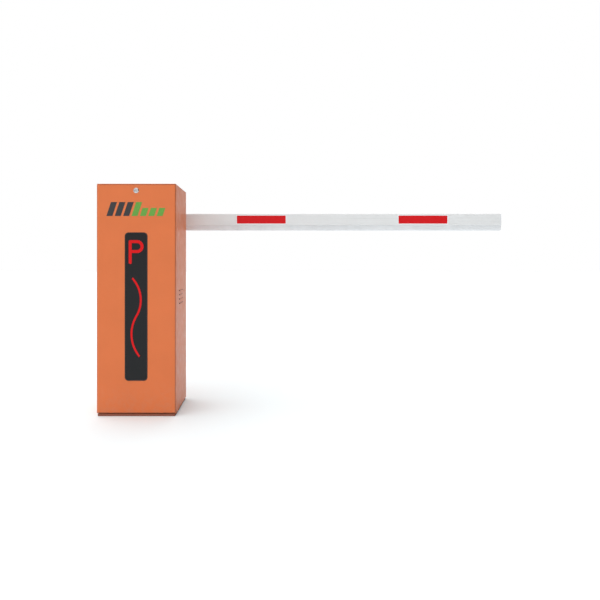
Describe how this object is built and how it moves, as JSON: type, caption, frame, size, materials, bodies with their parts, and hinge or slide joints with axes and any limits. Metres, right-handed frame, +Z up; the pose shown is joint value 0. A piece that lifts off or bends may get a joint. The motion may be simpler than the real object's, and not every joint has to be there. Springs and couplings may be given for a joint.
{
  "type": "parking barrier gate",
  "caption": "Parking barrier gate: upright sheet-steel cabinet with a lit sign door, hiding a worm-geared spring-balanced drive that swings a reflector-striped boom up behind it.",
  "frame": {"origin": "On the floor, at the middle of the four anchor holes under the cabinet.", "axes": "+X along the lowered boom towards its tip, -Y out of the sign door, +Z up."},
  "size_m": [1.902, 0.427, 1],
  "materials": {
    "orange_paint": "glossy powder coat",
    "dark_paint": "matt",
    "grey_paint": "satin",
    "blue_paint": "satin",
    "yellow_paint": "satin",
    "zinc_steel": "zinc plated",
    "bright_steel": "ground",
    "spring_steel": "phosphated",
    "cast_iron": "painted casting",
    "cast_aluminium": "die cast",
    "brass": "turned",
    "chrome": "polished",
    "boom_coating": "satin white coat over aluminium",
    "pale_rubber": "soft light grey profile",
    "black_rubber": "matt",
    "pale_plastic": "moulded",
    "black_plastic": "moulded",
    "white_plastic": "moulded",
    "green_plastic": "moulded",
    "red_plastic": "moulded",
    "yellow_plastic": "moulded",
    "blue_plastic": "moulded",
    "circuit_board": "solder mask",
    "black_acrylic": "tinted pane",
    "red_light": "lit red lens",
    "red_film": "retroreflective film"
  },
  "bodies": {
    "cabinet": {"base_plate": "dark_paint", "cable_grommet": "black_rubber", "cabinet_shell": "orange_paint", "roof_cover": "orange_paint", "hinge_brackets": "zinc_steel", "frame_posts": "zinc_steel", "drive_frame": "grey_paint", "hex_bolts": "zinc_steel", "bearing_housings": "cast_iron", "shaft_seal": "black_rubber", "stop_block": "grey_paint", "rubber_buffers": "black_rubber", "gearbox_housing": "cast_aluminium", "gearbox_cover": "cast_aluminium", "motor_housing": "cast_aluminium", "motor_terminal_box": "black_plastic", "spring_anchor": "zinc_steel", "spring_eye_bolts": "zinc_steel", "balance_springs": "spring_steel", "sensor_bracket": "zinc_steel", "limit_sensors": "brass", "control_panel": "zinc_steel", "control_board": "circuit_board", "board_components": "black_plastic", "terminal_blocks": "green_plastic", "power_supply": "cast_aluminium", "mains_breaker": "white_plastic", "wiring_loom": "black_plastic"},
    "boom": {"main_shaft": "bright_steel", "bearing_inserts": "bright_steel", "rocker_lever": "blue_paint", "lever_pins": "bright_steel", "position_disc": "brass", "arm_bracket": "grey_paint", "clamp_pads": "black_rubber", "clamp_plate": "grey_paint", "clamp_bolts": "zinc_steel", "boom_tube": "boom_coating", "boom_bumper": "pale_rubber", "boom_end_caps": "pale_plastic", "boom_reflectors": "red_film"},
    "crank": {"output_shaft": "bright_steel", "worm_wheel": "brass", "crank_arm": "blue_paint"},
    "link": {"connecting_rod": "yellow_paint"},
    "motor_shaft": {"worm_shaft": "bright_steel", "motor_rotor": "bright_steel", "hand_wheel": "red_plastic"},
    "door": {"front_door": "orange_paint", "window_bezel": "black_plastic", "window_pane": "black_acrylic", "led_symbols": "red_light", "led_board": "circuit_board", "door_seals": "black_rubber", "lock_barrel": "chrome"},
    "lock": {"lock_plug": "chrome"},
    "breaker": {"breaker_lever": "blue_plastic"},
    "raise": {"raise_button": "green_plastic"},
    "stop": {"stop_button": "red_plastic"},
    "lower": {"lower_button": "yellow_plastic"}
  },
  "joints": [
    {"name": "boom_swing", "type": "hinge", "parent": "cabinet", "child": "boom", "pos_m": [0, 0.06, 0.874], "axis": [0, -1, 0], "range_deg": [0, 90], "deforming": ["balance_springs"]},
    {"name": "crank_turn", "type": "hinge", "parent": "cabinet", "child": "crank", "pos_m": [0, 0.06, 0.684], "axis": [0, -1, 0], "range_deg": [0, 90]},
    {"name": "link_pivot", "type": "hinge", "parent": "crank", "child": "link", "pos_m": [0.0495, 0.043, 0.6345], "axis": [0, -1, 0], "range_deg": [-90, 0]},
    {"name": "motor_spin", "type": "hinge", "parent": "cabinet", "child": "motor_shaft", "pos_m": [0.05, -0.052, 0.5], "axis": [0, 0, 1], "range_deg": [0, 3600]},
    {"name": "door_tilt", "type": "hinge", "parent": "cabinet", "child": "door", "pos_m": [0, -0.142, 0.02], "axis": [1, 0, 0], "range_deg": [0, 30]},
    {"name": "lock_turn", "type": "hinge", "parent": "door", "child": "lock", "pos_m": [0, -0.14, 0.971], "axis": [0, -1, 0], "range_deg": [0, 90]},
    {"name": "breaker_switch", "type": "hinge", "parent": "cabinet", "child": "breaker", "pos_m": [0.064, -0.052, 0.154], "axis": [1, 0, 0], "range_deg": [0, 50]},
    {"name": "raise_press", "type": "slide", "parent": "cabinet", "child": "raise", "axis": [0, 1, 0], "range_m": [0, 0.0015], "stiffness_N_per_m": 300, "springref_m": -0.001},
    {"name": "stop_press", "type": "slide", "parent": "cabinet", "child": "stop", "axis": [0, 1, 0], "range_m": [0, 0.0015], "stiffness_N_per_m": 300, "springref_m": -0.001},
    {"name": "lower_press", "type": "slide", "parent": "cabinet", "child": "lower", "axis": [0, 1, 0], "range_m": [0, 0.0015], "stiffness_N_per_m": 300, "springref_m": -0.001}
  ],
  "couplings": [
    {"joint": "crank_turn", "follows": "boom_swing", "ratio": 1},
    {"joint": "link_pivot", "follows": "boom_swing", "ratio": -1},
    {"joint": "motor_spin", "follows": "boom_swing", "ratio": 40}
  ]
}
